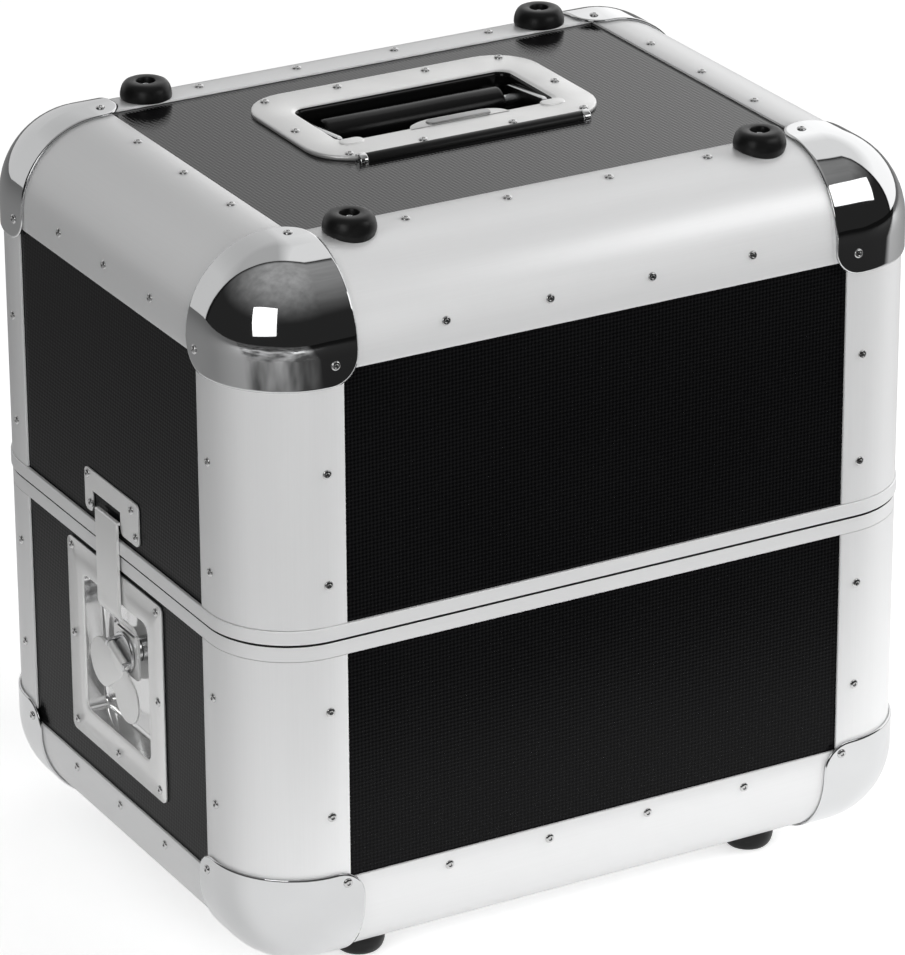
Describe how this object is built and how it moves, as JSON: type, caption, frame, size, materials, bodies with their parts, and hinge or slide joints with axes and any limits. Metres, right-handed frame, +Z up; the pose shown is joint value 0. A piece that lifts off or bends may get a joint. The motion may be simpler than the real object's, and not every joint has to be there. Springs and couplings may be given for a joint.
{
  "type": "record carrying case",
  "caption": "Upright carrying case for records on edge, with rounded metal edges, ball corners, a lift-off lid, a sunk folding handle and butterfly latches.",
  "frame": {"origin": "middle of the footprint, level with the underside of the lower feet", "axes": "+Z up, X along the handle and the longer side, Y across the stack of records with -Y at the front face and the latches on -X and +X"},
  "size_m": [0.3752, 0.291, 0.3774],
  "materials": {
    "laminate": "black linen-grained laminate on plywood",
    "edge_profile": "satin anodised, brushed along its length",
    "ball_corner": "bright chromed pressed steel",
    "latch_plate": "bright plated pressed steel",
    "steel": "plated steel",
    "grip": "smooth black plastic",
    "foot": "satin black rubber",
    "foam": "dark grey closed-cell foam"
  },
  "bodies": {
    "base": {"base_panel_bottom": "laminate", "base_panel_front": "laminate", "base_panel_back": "laminate", "base_panel_left": "laminate", "base_panel_right": "laminate", "base_post_front_left": "edge_profile", "base_post_front_right": "edge_profile", "base_post_back_right": "edge_profile", "base_post_back_left": "edge_profile", "base_rail_front": "edge_profile", "base_rail_back": "edge_profile", "base_rail_left": "edge_profile", "base_rail_right": "edge_profile", "base_ball_corner_front_left": "ball_corner", "base_ball_corner_front_right": "ball_corner", "base_ball_corner_back_right": "ball_corner", "base_ball_corner_back_left": "ball_corner", "base_valance": "edge_profile", "base_foot_front_left": "foot", "base_foot_front_right": "foot", "base_foot_back_right": "foot", "base_foot_back_left": "foot", "base_lining": "foam", "base_floor_pad": "foam", "latch_dish_left": "latch_plate", "latch_dish_right": "latch_plate"},
    "lid": {"lid_panel_top": "laminate", "lid_panel_front": "laminate", "lid_panel_back": "laminate", "lid_panel_left": "laminate", "lid_panel_right": "laminate", "lid_post_front_left": "edge_profile", "lid_post_front_right": "edge_profile", "lid_post_back_right": "edge_profile", "lid_post_back_left": "edge_profile", "lid_rail_front": "edge_profile", "lid_rail_back": "edge_profile", "lid_rail_left": "edge_profile", "lid_rail_right": "edge_profile", "lid_ball_corner_front_left": "ball_corner", "lid_ball_corner_front_right": "ball_corner", "lid_ball_corner_back_right": "ball_corner", "lid_ball_corner_back_left": "ball_corner", "lid_valance": "edge_profile", "lid_foot_front_left": "foot", "lid_foot_front_right": "foot", "lid_foot_back_right": "foot", "lid_foot_back_left": "foot", "lid_lining": "foam", "lid_striker_left": "latch_plate", "lid_striker_right": "latch_plate", "handle_dish": "latch_plate"},
    "handle": {"handle_bail": "steel", "handle_grip": "grip"},
    "left_spindle": {"latch_spindle_left": "steel"},
    "left_wing": {"latch_wing_left": "latch_plate"},
    "left_hook": {"latch_hook_left": "steel"},
    "right_spindle": {"latch_spindle_right": "steel"},
    "right_wing": {"latch_wing_right": "latch_plate"},
    "right_hook": {"latch_hook_right": "steel"}
  },
  "joints": [
    {"name": "lid_lift", "type": "slide", "parent": "base", "child": "lid", "axis": [0, 0, 1], "range_m": [0, 0.2]},
    {"name": "handle_swing", "type": "hinge", "parent": "lid", "child": "handle", "pos_m": [0, 0.0075, 0.3642], "axis": [1, 0, 0], "range_deg": [0, 90]},
    {"name": "left_spindle_turn", "type": "hinge", "parent": "base", "child": "left_spindle", "pos_m": [-0.185, 0, 0.13], "axis": [1, 0, 0], "range_deg": [0, 180]},
    {"name": "left_wing_fold", "type": "hinge", "parent": "left_spindle", "child": "left_wing", "pos_m": [-0.1838, 0, 0.13], "axis": [0, 0.9336, 0.3584], "range_deg": [0, 90]},
    {"name": "left_hook_rise", "type": "slide", "parent": "base", "child": "left_hook", "axis": [0, 0, 1], "range_m": [0, 0.005]},
    {"name": "right_spindle_turn", "type": "hinge", "parent": "base", "child": "right_spindle", "pos_m": [0.185, 0, 0.13], "axis": [-1, 0, 0], "range_deg": [0, 180]},
    {"name": "right_wing_fold", "type": "hinge", "parent": "right_spindle", "child": "right_wing", "pos_m": [0.1838, 0, 0.13], "axis": [0, -0.9336, 0.3584], "range_deg": [0, 90]},
    {"name": "right_hook_rise", "type": "slide", "parent": "base", "child": "right_hook", "axis": [0, 0, 1], "range_m": [0, 0.005]}
  ],
  "couplings": [
    {"joint": "left_wing_fold", "follows": "left_spindle_turn", "ratio": 0.5},
    {"joint": "left_hook_rise", "follows": "left_spindle_turn", "m_per_rad": 0.00159},
    {"joint": "right_wing_fold", "follows": "right_spindle_turn", "ratio": 0.5},
    {"joint": "right_hook_rise", "follows": "right_spindle_turn", "m_per_rad": 0.00159}
  ]
}
